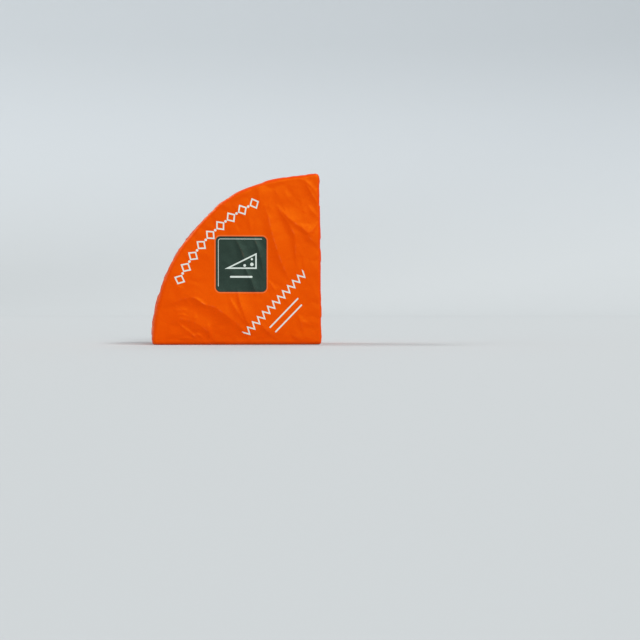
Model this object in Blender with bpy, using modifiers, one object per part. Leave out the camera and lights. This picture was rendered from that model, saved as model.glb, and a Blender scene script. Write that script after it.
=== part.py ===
"""A quarter wheel of blue cheese in its printed foil, standing on one of its two straight sides.

Metres, +Z up, +X to the right seen from the printed face, which looks along -Y. The origin is the middle
of the base. The wheel's centre is the square corner at the lower right, and the rim is the arc at the upper
left.
The foil starts as one sheet on the printed face. It goes over the rim and the straight sides, where the spare
foil lies in pleats and in corner ears, and it closes on the back as three pointed flaps.
"""

import math
import random

import bmesh
import bpy
from mathutils import Vector

# Driving dimensions, in metres and degrees
WHEEL_RADIUS = 0.0955
SLAB_DEPTH = 0.0505
WEDGE_ANGLE = 89.2
RIM_BULGE = 0.0016
RIM_BULGE_ANGLE = 121.0
RIM_BULGE_SPREAD = 14.0
TOE_DROP = 0.0008
TOE_DROP_START = 146.0
TOE_DROP_END = 168.0
RIM_STEPS = 40

# Rounding of the edges
RIM_ROUND = 0.0024
CUT_ROUND = 0.0018
CORNER_ROUND = 0.0024
ROUND_SEGMENTS = 3

# Folded foil: how far each layer stands proud, and how deep its solid reaches into the slab
LAYER = 0.00035
ROOT = 0.0012

# Corner ears: the shares are of an ear's length
EAR_HEIGHT = 0.0005
EAR_STEPS = 9
EAR_RISE = 0.25
EAR_BLUNT = 0.04
HIGH_EAR_SLANT = 0.9

# Pleats of the rim
PLEATS = 11
PLEAT_FIRST_ANGLE = 97.0
PLEAT_LAST_ANGLE = 146.0
PLEAT_START_DEPTH = 0.010
PLEAT_TIP_WIDTH = 0.0006
PLEAT_EDGE_WIDTH = 0.0034
PLEAT_BACK_WIDTH = 0.0062
PLEAT_HEIGHT = 0.0005
PLEAT_BACK_REACH = 0.036
PLEAT_JITTER = 0.9
PLEAT_START_RANGE = (0.7, 1.4)
PLEAT_SEED = 11

# Shares of a pleat's height: at its tip, on the back, and on its sunken side
PLEAT_TIP_SHARE = 0.15
PLEAT_BACK_SHARE = 0.8
PLEAT_SUNKEN_SHARE = 0.1

# Flaps of the back: each point lies this far from the wheel's centre, half way between the straight sides
SIDE_FLAP_POINT = 0.0600
BASE_FLAP_POINT = 0.0640
RIM_FLAP_REACH = 0.0400
RIM_FLAP_TAPER = 1.6
RIM_FLAP_END_ANGLE = 3.0
FLAP_INSET = 0.0016

# Creases of the printed face: half width, height and points (x, z) from the wheel's centre
CREASES = {
    "low_ridge": (0.0024, 0.00050, (
        (-0.0740, 0.0257), (-0.0650, 0.0212), (-0.0582, 0.0195), (-0.0508, 0.0155), (-0.0435, 0.0099))),
    "low_branch": (0.0018, 0.00040, (
        (-0.0514, 0.0263), (-0.0469, 0.0178), (-0.0424, 0.0121))),
    "toe_fold": (0.0018, 0.00045, (
        (-0.0881, 0.0167), (-0.0802, 0.0105), (-0.0768, 0.0076), (-0.0720, 0.0030))),
    "upper_fold": (0.0022, 0.00045, (
        (-0.0237, 0.0743), (-0.0226, 0.0686), (-0.0175, 0.0630), (-0.0158, 0.0545))),
    "side_fold": (0.0016, 0.00045, (
        (-0.0141, 0.0658), (-0.0102, 0.0613), (-0.0062, 0.0562), (-0.0032, 0.0510))),
    "crown_fold": (0.0013, 0.00040, (
        (-0.0073, 0.0930), (-0.0050, 0.0885), (-0.0035, 0.0830))),
}
CREASE_TIP = 0.15

FOIL_COLOUR = (0.775, 0.082, 0.003, 1.0)
FOIL_ROUGHNESS = 0.38
FOIL_METALLIC = 0.15

FRONT = -SLAB_DEPTH / 2
BACK = SLAB_DEPTH / 2
TOE_ANGLE = 180.0
UPRIGHT_ANGLE = TOE_ANGLE - WEDGE_ANGLE
MIDDLE_ANGLE = (TOE_ANGLE + UPRIGHT_ANGLE) / 2
SHARP_ANGLE = math.radians(25.0)


def clear_scene():
    for obj in list(bpy.data.objects):
        bpy.data.objects.remove(obj, do_unlink=True)


def new_collection(name):
    made = bpy.data.collections.new(name)
    bpy.context.scene.collection.children.link(made)
    return made


def foil_material():
    made = bpy.data.materials.new("printed_foil")
    made.use_nodes = True
    shader = made.node_tree.nodes["Principled BSDF"]
    shader.inputs["Base Color"].default_value = FOIL_COLOUR
    shader.inputs["Roughness"].default_value = FOIL_ROUGHNESS
    shader.inputs["Metallic"].default_value = FOIL_METALLIC
    made.diffuse_color = FOIL_COLOUR
    return made


def rim_radius(angle):
    """The rim's distance from the wheel's centre: round, with a soft bulge, and a little less at the toe."""
    away = (angle - RIM_BULGE_ANGLE) / RIM_BULGE_SPREAD
    share = min(1.0, max(0.0, (angle - TOE_DROP_START) / (TOE_DROP_END - TOE_DROP_START)))
    return WHEEL_RADIUS + RIM_BULGE * math.exp(-away * away) - TOE_DROP * share * share * (3.0 - 2.0 * share)


def rim_point(angle, depth, outwards=0.0):
    turn = math.radians(angle)
    reach = rim_radius(angle) + outwards
    return Vector((reach * math.cos(turn), depth, reach * math.sin(turn)))


def spread(first, last, count):
    """Evenly spaced values from first to last."""
    return [first + (last - first) * step / (count - 1) for step in range(count)]


def new_object(name, shape, collection):
    """An object from a bmesh, with its faces turned outwards."""
    bmesh.ops.recalc_face_normals(shape, faces=shape.faces)
    mesh = bpy.data.meshes.new(name)
    shape.to_mesh(mesh)
    shape.free()
    made = bpy.data.objects.new(name, mesh)
    collection.objects.link(made)
    return made


def prism(outline, thickness):
    """A bmesh of a flat outline made solid along the vector thickness."""
    shape = bmesh.new()
    face = shape.faces.new([shape.verts.new(point) for point in outline])
    raised = bmesh.ops.extrude_face_region(shape, geom=[face])["geom"]
    moved = [item for item in raised if isinstance(item, bmesh.types.BMVert)]
    bmesh.ops.translate(shape, verts=moved, vec=thickness)
    return shape


def loft(name, sections, collection):
    """A solid through sections of the same number of corners, closed at both ends."""
    shape = bmesh.new()
    rings = [[shape.verts.new(point) for point in section] for section in sections]
    corners = range(len(rings[0]))
    for near, far in zip(rings, rings[1:]):
        for this in corners:
            following = (this + 1) % len(corners)
            shape.faces.new((near[this], near[following], far[following], far[this]))
    shape.faces.new(rings[0])
    shape.faces.new(rings[-1])
    return new_object(name, shape, collection)


def slab(collection):
    """The wedge itself: the quarter outline made solid, its rim rounded more than its cut edges."""
    rim = [rim_point(angle, FRONT) for angle in spread(UPRIGHT_ANGLE, TOE_ANGLE, RIM_STEPS + 1)]
    outline = [Vector((0.0, FRONT, 0.0))] + rim
    shape = prism(outline, Vector((0.0, SLAB_DEPTH, 0.0)))
    weights = shape.edges.layers.float.new("bevel_weight_edge")
    hard_corners = [outline[0], rim[0], rim[-1]]
    for edge in shape.edges:
        ends = [vert.co for vert in edge.verts]
        across = abs(ends[0].y - ends[1].y) > SLAB_DEPTH / 2
        if across:
            at_corner = any((ends[0].xz - corner.xz).length < 1e-6 for corner in hard_corners)
            edge[weights] = CORNER_ROUND / RIM_ROUND if at_corner else 0.0
            continue
        on_rim = min(end.xz.length for end in ends) > WHEEL_RADIUS / 2
        at_front = ends[0].y < 0.0
        edge[weights] = 1.0 if on_rim and at_front else CUT_ROUND / RIM_ROUND
    made = new_object("wrapped_wedge", shape, collection)
    rounding = made.modifiers.new("rounded_edges", "BEVEL")
    rounding.limit_method = "WEIGHT"
    rounding.offset_type = "OFFSET"
    rounding.width = RIM_ROUND
    rounding.segments = ROUND_SEGMENTS
    return made


def back_flap(name, outline, height, collection):
    """One pointed flap, a thin plate that stands height proud of the back."""
    points = [Vector((x, BACK - ROOT, z)) for x, z in outline]
    return new_object(name, prism(points, Vector((0.0, ROOT + height, 0.0))), collection)


def rim_flap(collection):
    """The lowest flap: the rim's foil, folded in as a ring that narrows to the two corners."""
    sections = []
    ends = (UPRIGHT_ANGLE + RIM_FLAP_END_ANGLE, TOE_ANGLE - RIM_FLAP_END_ANGLE)
    for angle in spread(*ends, RIM_STEPS + 1):
        middle = 1.0 - abs(angle - MIDDLE_ANGLE) / (WEDGE_ANGLE / 2)
        width = FLAP_INSET * 2 + min(1.0, RIM_FLAP_TAPER * middle) * RIM_FLAP_REACH
        outer = rim_point(angle, BACK - ROOT, -FLAP_INSET)
        inner = rim_point(angle, BACK - ROOT, -width)
        up = Vector((0.0, ROOT + LAYER, 0.0))
        sections.append((outer, inner, inner + up, outer + up))
    return loft("rim_flap", sections, collection)


def ear(name, place, collection):
    """A corner ear, a triangle of folded foil from the front corner to the back edge.

    place gives the point of the side at a distance from the corner, a depth and a height above the surface.
    The ear grows out of the corner's rounding and stands full height along its slanting free edge.
    """
    reach = SLAB_DEPTH - 2 * CUT_ROUND
    sections = []
    for share in spread(0.0, 1.0 - EAR_BLUNT, EAR_STEPS):
        along = CORNER_ROUND + share * reach
        front = FRONT + CUT_ROUND + share * reach
        back = BACK - CUT_ROUND
        height = EAR_HEIGHT * min(1.0, EAR_BLUNT + share / EAR_RISE)
        sections.append((
            place(along, front, -ROOT),
            place(along, front, height),
            place(along, back, height),
            place(along, back, -ROOT),
        ))
    return loft(name, sections, collection)


def side_place(start, climb):
    """The places of an ear on the upright side, measured from start along the side."""
    turn = math.radians(UPRIGHT_ANGLE)
    up_side = Vector((math.cos(turn), 0.0, math.sin(turn)))
    out = Vector((math.sin(turn), 0.0, -math.cos(turn)))
    return lambda along, depth, height: (
        up_side * (start + climb * along) + out * height + Vector((0.0, depth, 0.0)))


def rim_place(along, depth, height):
    """The places of the ear on the rim, measured from the toe."""
    return rim_point(TOE_ANGLE - math.degrees(along / WHEEL_RADIUS), depth, height)


def pleat(name, angle, start_depth, collection):
    """One pleat: it starts as a point on the rim, widens to the back edge and goes on over the back."""
    half_way = CUT_ROUND * (1.0 - math.cos(math.pi / 4))
    stations = (
        (0.0, FRONT + start_depth, 0.0, PLEAT_TIP_WIDTH, PLEAT_TIP_SHARE),
        (0.0, BACK - CUT_ROUND, 0.0, PLEAT_EDGE_WIDTH, 1.0),
        (-half_way, BACK - half_way, 0.5, PLEAT_EDGE_WIDTH, 1.0),
        (-CUT_ROUND, BACK + LAYER, 1.0, PLEAT_EDGE_WIDTH, PLEAT_BACK_SHARE),
        (-PLEAT_BACK_REACH, BACK + LAYER, 1.0, PLEAT_BACK_WIDTH, PLEAT_BACK_SHARE),
    )
    sections = []
    for inwards, depth, turned, width, height in stations:
        lean = turned * math.pi / 2
        proud = PLEAT_HEIGHT * height
        reach = rim_radius(angle) + inwards
        half_turn = math.degrees(width / 2 / reach)
        corners = []
        for side, lift in ((-1, -ROOT), (-1, PLEAT_SUNKEN_SHARE * proud), (1, proud), (1, -ROOT)):
            corners.append(rim_point(angle + side * half_turn, depth + lift * math.sin(lean),
                                     inwards + lift * math.cos(lean)))
        sections.append(corners)
    return loft(name, sections, collection)


def crease(name, points, half_width, height, collection):
    """One crease of the printed face: a low roof along its points that fades out at both ends."""
    places = [Vector((x, FRONT, z)) for x, z in points]
    sections = []
    for index, place in enumerate(places):
        before = places[max(index - 1, 0)]
        after = places[min(index + 1, len(places) - 1)]
        side = (after - before).normalized().cross(Vector((0.0, 1.0, 0.0)))
        share = CREASE_TIP + (1.0 - CREASE_TIP) * math.sin(math.pi * index / (len(places) - 1))
        sections.append((
            place - side * half_width * share,
            place + Vector((0.0, -height * share, 0.0)),
            place + side * half_width * share,
            place + Vector((0.0, ROOT, 0.0)),
        ))
    return loft(name, sections, collection)


def fold_foil(folds):
    """Every fold of the foil, as solids rooted in the slab."""
    upright = Vector((math.cos(math.radians(UPRIGHT_ANGLE)), math.sin(math.radians(UPRIGHT_ANGLE))))
    crown = upright * WHEEL_RADIUS
    rim_flap(folds)
    inwards = Vector((-1.0, 1.0)).normalized()
    back_flap("side_flap", (
        upright * FLAP_INSET + Vector((-FLAP_INSET, 0.0)),
        inwards * SIDE_FLAP_POINT,
        crown + Vector((-FLAP_INSET, -FLAP_INSET)),
    ), 2 * LAYER, folds)
    back_flap("base_flap", (
        (-FLAP_INSET, FLAP_INSET),
        inwards * BASE_FLAP_POINT,
        (-WHEEL_RADIUS + 2 * FLAP_INSET, FLAP_INSET),
    ), 3 * LAYER, folds)
    ear("low_ear", side_place(0.0, 1.0), folds)
    ear("high_ear", side_place(WHEEL_RADIUS, -HIGH_EAR_SLANT), folds)
    ear("rim_ear", rim_place, folds)
    draw = random.Random(PLEAT_SEED)
    for number, angle in enumerate(spread(PLEAT_FIRST_ANGLE, PLEAT_LAST_ANGLE, PLEATS)):
        start = PLEAT_START_DEPTH * draw.uniform(*PLEAT_START_RANGE)
        pleat(f"pleat_{number:02d}", angle + draw.uniform(-PLEAT_JITTER, PLEAT_JITTER), start, folds)
    for name, (half_width, height, points) in CREASES.items():
        crease(name, points, half_width, height, folds)


def join_folds(wedge, folds):
    """One union of the slab with its folds, and the folds' own objects removed."""
    union = wedge.modifiers.new("folded_foil", "BOOLEAN")
    union.operation = "UNION"
    union.operand_type = "COLLECTION"
    union.collection = folds
    union.solver = "EXACT"
    bpy.context.view_layer.update()
    graph = bpy.context.evaluated_depsgraph_get()
    joined = bpy.data.meshes.new_from_object(wedge.evaluated_get(graph))
    wedge.modifiers.clear()
    wedge.data = joined
    for obj in list(folds.objects):
        bpy.data.objects.remove(obj, do_unlink=True)
    bpy.data.collections.remove(folds)


def stand_on_origin(wedge):
    """Moves the mesh so that the middle of its box's base is the origin."""
    points = [vert.co for vert in wedge.data.vertices]
    lowest = Vector([min(point[axis] for point in points) for axis in range(3)])
    highest = Vector([max(point[axis] for point in points) for axis in range(3)])
    middle = (lowest + highest) / 2
    for vert in wedge.data.vertices:
        vert.co -= Vector((middle.x, middle.y, lowest.z))


def main():
    clear_scene()
    parts = new_collection("wrapped_blue_cheese_wedge")
    folds = new_collection("folds")
    wedge = slab(parts)
    fold_foil(folds)
    join_folds(wedge, folds)
    stand_on_origin(wedge)
    wedge.data.materials.clear()
    wedge.data.materials.append(foil_material())
    wedge.data.shade_smooth()
    wedge.data.set_sharp_from_angle(angle=SHARP_ANGLE)


main()
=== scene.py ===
"""The look of a quarter wheel of blue cheese in its printed foil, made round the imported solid.

Lengths are millimetres until a mesh is made. x and z are measured from the wheel's centre, the square corner
at the lower right of the printed face: x to the right, z up. y runs from the printed face to the back.
"""

import math
import random

import bmesh
import bpy
import numpy as np
from mathutils import Matrix, Vector
from mathutils.geometry import delaunay_2d_cdt
from mathutils.kdtree import KDTree


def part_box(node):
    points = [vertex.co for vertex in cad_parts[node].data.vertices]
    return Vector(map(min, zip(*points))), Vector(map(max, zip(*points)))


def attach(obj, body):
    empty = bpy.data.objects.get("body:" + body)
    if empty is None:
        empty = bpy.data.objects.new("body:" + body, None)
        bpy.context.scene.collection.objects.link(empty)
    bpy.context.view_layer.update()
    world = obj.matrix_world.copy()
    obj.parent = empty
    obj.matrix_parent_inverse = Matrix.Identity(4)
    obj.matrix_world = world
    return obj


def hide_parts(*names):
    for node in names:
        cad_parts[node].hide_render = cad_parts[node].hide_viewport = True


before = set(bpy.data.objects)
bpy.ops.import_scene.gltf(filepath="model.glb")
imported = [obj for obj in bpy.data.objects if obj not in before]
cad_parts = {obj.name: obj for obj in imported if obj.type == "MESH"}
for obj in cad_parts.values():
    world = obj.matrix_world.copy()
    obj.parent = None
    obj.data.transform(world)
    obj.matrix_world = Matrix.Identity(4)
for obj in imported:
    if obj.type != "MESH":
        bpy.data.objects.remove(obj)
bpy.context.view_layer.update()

MM = 0.001
NODE = "wrapped_wedge"

# How far the solid's folds stand out of the plain slab
CREASE_PROUD = 0.5
EAR_PROUD = 0.31
FLAPS_PROUD = 1.05

# The slab, read from the frame
LOW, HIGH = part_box(NODE)
CENTRE_X = HIGH.x / MM - EAR_PROUD
FRONT = LOW.y / MM + CREASE_PROUD
BACK = HIGH.y / MM - FLAPS_PROUD

# Outline, in degrees round the wheel's centre and millimetres
WHEEL_RADIUS = 95.5
UPRIGHT_ANGLE = 90.8
TOE_ANGLE = 180.0
RIM_BULGE = 1.6
RIM_BULGE_ANGLE = 121.0
RIM_BULGE_SPREAD = 14.0
TOE_DROP = 0.8
TOE_DROP_ANGLES = (146.0, 168.0)
RIM_ROUND = 2.4
CUT_ROUND = 1.8
CORNER_ROUND = 2.6
CORNER_STEPS = 12
RIM_BLEND = (3.0, 8.0)

# The side band as it lies flat: its front rounding, its plain width and its back rounding
FRONT_ROLL = 3.6
SIDE_RUN = 45.0
BACK_ROLL = 2.8
BAND = FRONT_ROLL + SIDE_RUN + BACK_ROLL
SIDE_SWELL = 0.3

# Spacing of the foil's points
RING_STEP = 0.6
FOLD_STEP = 0.45
FRONT_STEP = 0.52
BAND_STEP = 0.74
BACK_STEP = 0.66

# Lattice points keep a share of their step from other points. Creases keep a distance from a free edge, and
# two of their points are joined only where their distances from it add up to this many times the way between
CLEARANCE = 0.55
EDGE_CLEAR = 0.3
CROSSING = 1.5
TOUCHING = 1e-5
TINY = 1e-6
WELD_DIGITS = 4

# A fold's free edge drops to the layer below within this width. The foot of a flank is rounded over a share
# of the fold's height: soft where the foil is only creased, and hardly where it lies in layers
FREE_EDGE = 0.16
SOFT_FOOT = 0.40
LAYER_FOOT = 0.08

# The free edge of a layer stands up in a lip and wavers a little
LIP = 0.30
LIP_WIDTH = 2.4
EDGE_SWING = 0.34
EDGE_RIPPLE = 0.30
LAYER_SEED = 17

# The printed face is a little fuller in the middle than along its edges, and falls off slowly towards
# the upright side and the rim
FULLNESS = 0.55
FULLNESS_REACH = 17.0
UPRIGHT_FALL = 0.2
RIM_FALL = 0.3

# Corner ears, as in the solid
EAR_REACH = BACK - FRONT - 2 * CUT_ROUND
HIGH_EAR_SLANT = 0.9
EAR_HEIGHT = 0.56
EAR_WIDTH = 9.0

# Pleats of the rim, as in the solid
PLEATS = 11
PLEAT_FIRST_ANGLE = 97.0
PLEAT_LAST_ANGLE = 146.0
PLEAT_START_DEPTH = 10.0
PLEAT_START_RANGE = (0.7, 1.4)
PLEAT_EDGE_WIDTH = 3.4
PLEAT_BACK_WIDTH = 6.2
PLEAT_BACK_REACH = 36.0
PLEAT_JITTER = 0.9
PLEAT_SEED = 11
PLEAT_SLANT = 2.4
PLEAT_UNDER_FLAP = 6.0
PLEAT_HEIGHT = 0.62
PLEAT_TIP_SHARE = 0.35

# Flaps of the back, as in the solid
SIDE_FLAP_POINT = 60.0
BASE_FLAP_POINT = 64.0
FLAP_INSET = 1.6
FLAP_HEIGHT = 0.74
BASE_FLAP_WIDTH = 14.0
SIDE_FLAP_WIDTH = 12.0

# Creases of the printed face: height, width right or above the crest, width left or below, and points
FRONT_CREASES = {
    "low_ridge": (0.70, 14.0, 5.4, (
        (-86.0, 21.5), (-82.0, 23.6), (-77.0, 25.6), (-71.0, 25.8), (-66.0, 22.6), (-60.0, 20.8),
        (-54.0, 16.8), (-48.0, 12.0), (-43.6, 7.4), (-41.0, 2.8))),
    "low_glint": (0.20, 1.3, 2.6, ((-73.0, 26.6), (-70.2, 25.4), (-67.2, 23.4), (-63.4, 21.0))),
    "low_branch": (0.27, 2.0, 3.0, ((-51.6, 26.6), (-50.0, 22.6), (-47.4, 18.2), (-43.6, 12.4))),
    "label_tail": (0.48, 6.4, 2.6, (
        (-47.6, 31.0), (-46.2, 24.0), (-44.0, 17.5), (-41.6, 12.0), (-39.0, 6.0))),
    "toe_swell": (0.48, 9.0, 5.6, ((-84.0, 12.0), (-79.0, 14.4), (-72.0, 13.0), (-66.0, 9.4), (-60.0, 4.0))),
    "toe_fold": (0.24, 1.3, 3.2, ((-80.5, 12.8), (-77.6, 9.8), (-73.3, 6.6), (-70.4, 4.0), (-68.4, 2.2))),
    "toe_streak": (0.16, 1.2, 1.8, ((-80.5, 3.6), (-75.2, 3.8), (-69.6, 2.4))),
    "toe_mark": (0.14, 1.0, 1.6, ((-73.0, 4.8), (-69.8, 5.6), (-67.2, 5.0))),
    "base_streak": (0.24, 1.6, 3.0, ((-63.6, 12.4), (-63.1, 8.4), (-62.6, 4.0))),
    "base_tuck": (0.22, 4.0, 2.0, ((-36.4, 13.4), (-31.0, 7.6), (-25.0, 2.8))),
    "base_tuck_twin": (0.16, 2.4, 1.8, ((-17.4, 5.4), (-13.4, 3.2), (-10.3, 2.3))),
    "low_side_fold": (0.20, 3.0, 2.4, ((-14.1, 17.6), (-12.0, 12.0), (-10.4, 6.0))),
    "label_mark": (0.16, 1.3, 1.6, ((-30.8, 36.6), (-28.2, 33.0), (-26.0, 29.4))),
    "upper_swell": (0.60, 7.2, 5.0, (
        (-32.4, 77.0), (-30.4, 71.5), (-28.8, 64.0), (-26.8, 57.0), (-24.2, 49.0), (-21.4, 42.0),
        (-18.6, 36.4))),
    "upper_crest": (0.46, 7.0, 3.0, (
        (-25.6, 77.4), (-23.0, 72.6), (-19.0, 67.2), (-15.9, 61.4), (-15.1, 55.4), (-15.0, 49.0),
        (-14.4, 44.0))),
    "side_crest": (0.40, 8.4, 2.4, ((-24.0, 75.4), (-19.4, 70.6), (-13.6, 66.2), (-8.2, 62.3), (-5.6, 60.0))),
    "side_glint": (0.14, 2.8, 1.1, ((-9.4, 61.2), (-6.4, 63.0), (-2.6, 67.2))),
    "side_fold": (0.38, 9.0, 3.4, ((-13.0, 68.0), (-9.9, 63.2), (-6.2, 58.2), (-2.6, 54.2))),
    "crown_fold": (0.32, 2.2, 4.6, ((-14.4, 92.4), (-10.0, 91.2), (-7.4, 89.2), (-4.6, 85.8), (-2.5, 81.4))),
    "crown_twin": (0.22, 1.5, 2.4, ((-9.4, 89.4), (-7.4, 86.2), (-5.0, 82.2), (-2.5, 77.6))),
    "crown_low": (0.15, 1.8, 2.4, ((-8.4, 78.0), (-5.8, 74.2), (-2.5, 70.4))),
    "crown_swell": (0.20, 12.0, 2.6, ((-36.6, 90.0), (-35.6, 85.6), (-34.6, 79.0), (-34.2, 72.0))),
    "upper_mark": (0.14, 1.8, 2.0, ((-41.2, 71.4), (-40.4, 66.6), (-39.7, 62.4))),
    "label_fold": (0.28, 3.4, 2.2, ((-38.6, 60.4), (-35.6, 52.2), (-33.6, 45.0), (-32.8, 39.0))),
    "label_fold_twin": (0.26, 3.2, 2.4, ((-48.6, 59.0), (-44.8, 51.4), (-43.0, 44.6), (-42.6, 40.0))),
    "label_fold_low": (0.26, 2.6, 2.8, ((-43.8, 43.4), (-40.0, 36.4), (-37.4, 29.4), (-36.8, 26.0))),
}

# Small crinkles drawn at random: how many, and their size ranges
CRINKLE_SEED = 29
CRINKLE_LENGTH = (3.0, 11.0)
CRINKLE_KINK = 0.12
FRONT_CRINKLE_HEIGHT = (0.03, 0.12)
FRONT_CRINKLE_WIDTH = (0.7, 3.4)
OTHER_CRINKLE_HEIGHT = (0.07, 0.26)
OTHER_CRINKLE_WIDTH = (0.9, 3.8)
FRONT_CRINKLES = 64
BAND_CRINKLES = 120
BACK_CRINKLES = 80

# The front's crinkles start this far in from its edges and reach this much further, crowded outwards. Their
# headings in degrees, give or take: down to the right beside the upright side and over the base, and outwards
# at the rim
EDGE_INSET = 4.5
EDGE_REACH = 26.0
EDGE_CROWDING = 2.2
UPRIGHT_HEADING = (126.0, 20.0)
BASE_HEADING = (112.0, 30.0)
RIM_HEADING_SPREAD = 28.0

# Broad folds of the sides and the back
BROAD_LENGTH = (14.0, 32.0)
BROAD_HEIGHT = (0.22, 0.48)
BROAD_WIDTH = (3.0, 9.0)
BAND_BROAD_FOLDS = 34
BACK_BROAD_FOLDS = 14

# Flat facets of the loose foil: spacing, stretch from front to back, and depth of their deepest corners.
# A corner lies within a share of that depth from its top or its bottom. Jitter and gap are shares of the
# spacing
FACET_SEED = 41
FACET_NETS = {"band": (6.2, 1.7, 1.15), "back": (7.6, 1.0, 1.45)}
FACET_EVEN_SHARE = 0.25
FACET_JITTER = 0.36
FACET_BORDER_GAP = 0.6
FACET_EDGE_STEP = 0.9

# Slack of the foil: in the middle of the printed face, added along its edges, and behind. The change lies
# between these distances from the edges and these depths behind the face
FRONT_SLACK = 0.17
EDGE_SLACK = 0.20
BACK_SLACK = 0.9
LOOSE_EDGE = (3.0, 22.0)
BEHIND_FACE = (1.0, 8.0)

# Marks of worn print and painted highlight: on the front's creases, on the folds behind and along the front's
# edge
CREST_MARK_WIDTH = 0.35
CREST_MARK_HEIGHT = 0.45
FRONT_CREASE_WEAR_AND_HIGHLIGHT = 0.3
LAYER_WEAR_AND_HIGHLIGHT = 0.22
EDGE_WEAR_AND_HIGHLIGHT = 0.35
EDGE_MARK_DEPTH = 0.6
EDGE_MARK_WIDTH = 0.4

# Print, in millimetres from the wheel's centre
LABEL_MIDDLE = (-45.3, 44.6)
LABEL_HALF = (14.1, 15.4)
LABEL_CORNER = 2.6
LABEL_LINE_INSET = 1.45
LABEL_LINE_END = (11.5, -12.3)
DIAMONDS = 9
DIAMOND_ANGLES = (113.5, 158.0)
DIAMOND_RADIUS = 87.0
STRIPE_ANGLE = 45.9
PRINT_SOFT = 0.07

# Colours, linear, and finish
ORANGE = (0.765, 0.057, 0.0004, 1.0)
DEEP_ORANGE = (0.735, 0.047, 0.0004, 1.0)
GREEN = (0.021, 0.034, 0.031, 1.0)
PALE = (0.650, 0.700, 0.680, 1.0)
LIGHT_ORANGE = (0.900, 0.260, 0.100, 1.0)
# Light orange of worn print and of painted highlights on crests and edges
SCUFF_AND_HIGHLIGHT_COLOUR = (0.950, 0.330, 0.140, 1.0)
SHEEN_TINT = (0.45, 0.86, 0.02, 1.0)
SHEEN_LEVEL = 0.48
FOIL_ROUGHNESS = 0.45
FOIL_METAL = 0.06
LABEL_METAL = 0.74
SCUFF_AND_HIGHLIGHT_METAL = 0.20
SHARP_ANGLE = 32.0
FLOOR_COLOUR = (0.490, 0.514, 0.523, 1.0)
WALL_COLOUR = (0.560, 0.592, 0.615, 1.0)

# The photograph's camera
IMAGE_SIZE = 640
FOCAL_PIXELS = 1500.0
SENSOR_WIDTH = 36.0
CORNER_PIXEL = (322.6, 344.6)
CORNER_DISTANCE = 835.0
YAW = 6.0
PITCH = -0.34


def smooth_share(value, low, high):
    share = np.clip((value - low) / (high - low), 0.0, 1.0)
    return share * share * (3.0 - 2.0 * share)


# Outline of the wedge

def rim_radius(angle):
    away = (angle - RIM_BULGE_ANGLE) / RIM_BULGE_SPREAD
    drop = TOE_DROP * float(smooth_share(angle, *TOE_DROP_ANGLES))
    return WHEEL_RADIUS + RIM_BULGE * math.exp(-away * away) - drop


def rim(angle):
    turn = math.radians(angle)
    return rim_radius(angle) * np.array([math.cos(turn), math.sin(turn)])


def line(start, end, step=RING_STEP):
    """Points from start up to but not including end."""
    start, end = np.asarray(start, float), np.asarray(end, float)
    count = max(1, round(float(np.linalg.norm(end - start)) / step))
    return [start + (end - start) * number / count for number in range(count)]


def bend(start, corner, end):
    """Points of a rounded corner up to but not including end."""
    start, corner, end = (np.asarray(point, float) for point in (start, corner, end))
    shares = [number / CORNER_STEPS for number in range(CORNER_STEPS)]
    return [start * (1 - t) ** 2 + corner * 2 * t * (1 - t) + end * t * t for t in shares]


UP_SIDE = np.array([math.cos(math.radians(UPRIGHT_ANGLE)), math.sin(math.radians(UPRIGHT_ANGLE))])
CROWN = rim(UPRIGHT_ANGLE)
TOE = rim(TOE_ANGLE)
CORNER_TURN = math.degrees(CORNER_ROUND / WHEEL_RADIUS)


def walk_round():
    """The outline's points from the middle of the base, past the wheel's centre, the crown and the toe."""
    base_middle = TOE / 2
    first, last = UPRIGHT_ANGLE + CORNER_TURN, TOE_ANGLE - CORNER_TURN
    steps = round(math.radians(last - first) * WHEEL_RADIUS / RING_STEP)
    toe_foot = TOE + (CORNER_ROUND, 0.0)
    points = line(base_middle, (-CORNER_ROUND, 0.0))
    points += bend((-CORNER_ROUND, 0.0), (0.0, 0.0), UP_SIDE * CORNER_ROUND)
    points += line(UP_SIDE * CORNER_ROUND, CROWN - UP_SIDE * CORNER_ROUND)
    points += bend(CROWN - UP_SIDE * CORNER_ROUND, CROWN, rim(first))
    points += [rim(first + (last - first) * number / steps) for number in range(steps)]
    points += bend(rim(last), TOE, toe_foot)
    points += line(toe_foot, base_middle)
    return np.array(points + [base_middle])


RING = walk_round()
RUN = np.concatenate([[0.0], np.cumsum(np.linalg.norm(np.diff(RING, axis=0), axis=1))])
_ahead = np.vstack([RING[1:], RING[1]]) - np.vstack([RING[-2], RING[:-1]])
_ahead /= np.linalg.norm(_ahead, axis=1)[:, None]
OUT = np.column_stack([_ahead[:, 1], -_ahead[:, 0]])
_from_corners = np.minimum(np.linalg.norm(RING - CROWN, axis=1), np.linalg.norm(RING - TOE, axis=1))
ON_RIM = smooth_share(_from_corners, *RIM_BLEND) * (np.linalg.norm(RING, axis=1) > 0.985 * WHEEL_RADIUS)
FRONT_ROUND = CUT_ROUND + (RIM_ROUND - CUT_ROUND) * ON_RIM


def run_at(point):
    """How far round the outline the nearest ring point lies."""
    return RUN[int(np.argmin(np.linalg.norm(RING - np.asarray(point), axis=1)))]


# Patches of the foil: flat coordinates to places and outward normals

def front_patch(flat):
    flat = np.atleast_2d(flat)
    places = np.column_stack([flat[:, 0], np.full(len(flat), FRONT), flat[:, 1]])
    return places, np.tile([0.0, -1.0, 0.0], (len(flat), 1))


def back_patch(flat):
    flat = np.atleast_2d(flat)
    places = np.column_stack([flat[:, 0], np.full(len(flat), BACK), flat[:, 1]])
    return places, np.tile([0.0, 1.0, 0.0], (len(flat), 1))


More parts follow.
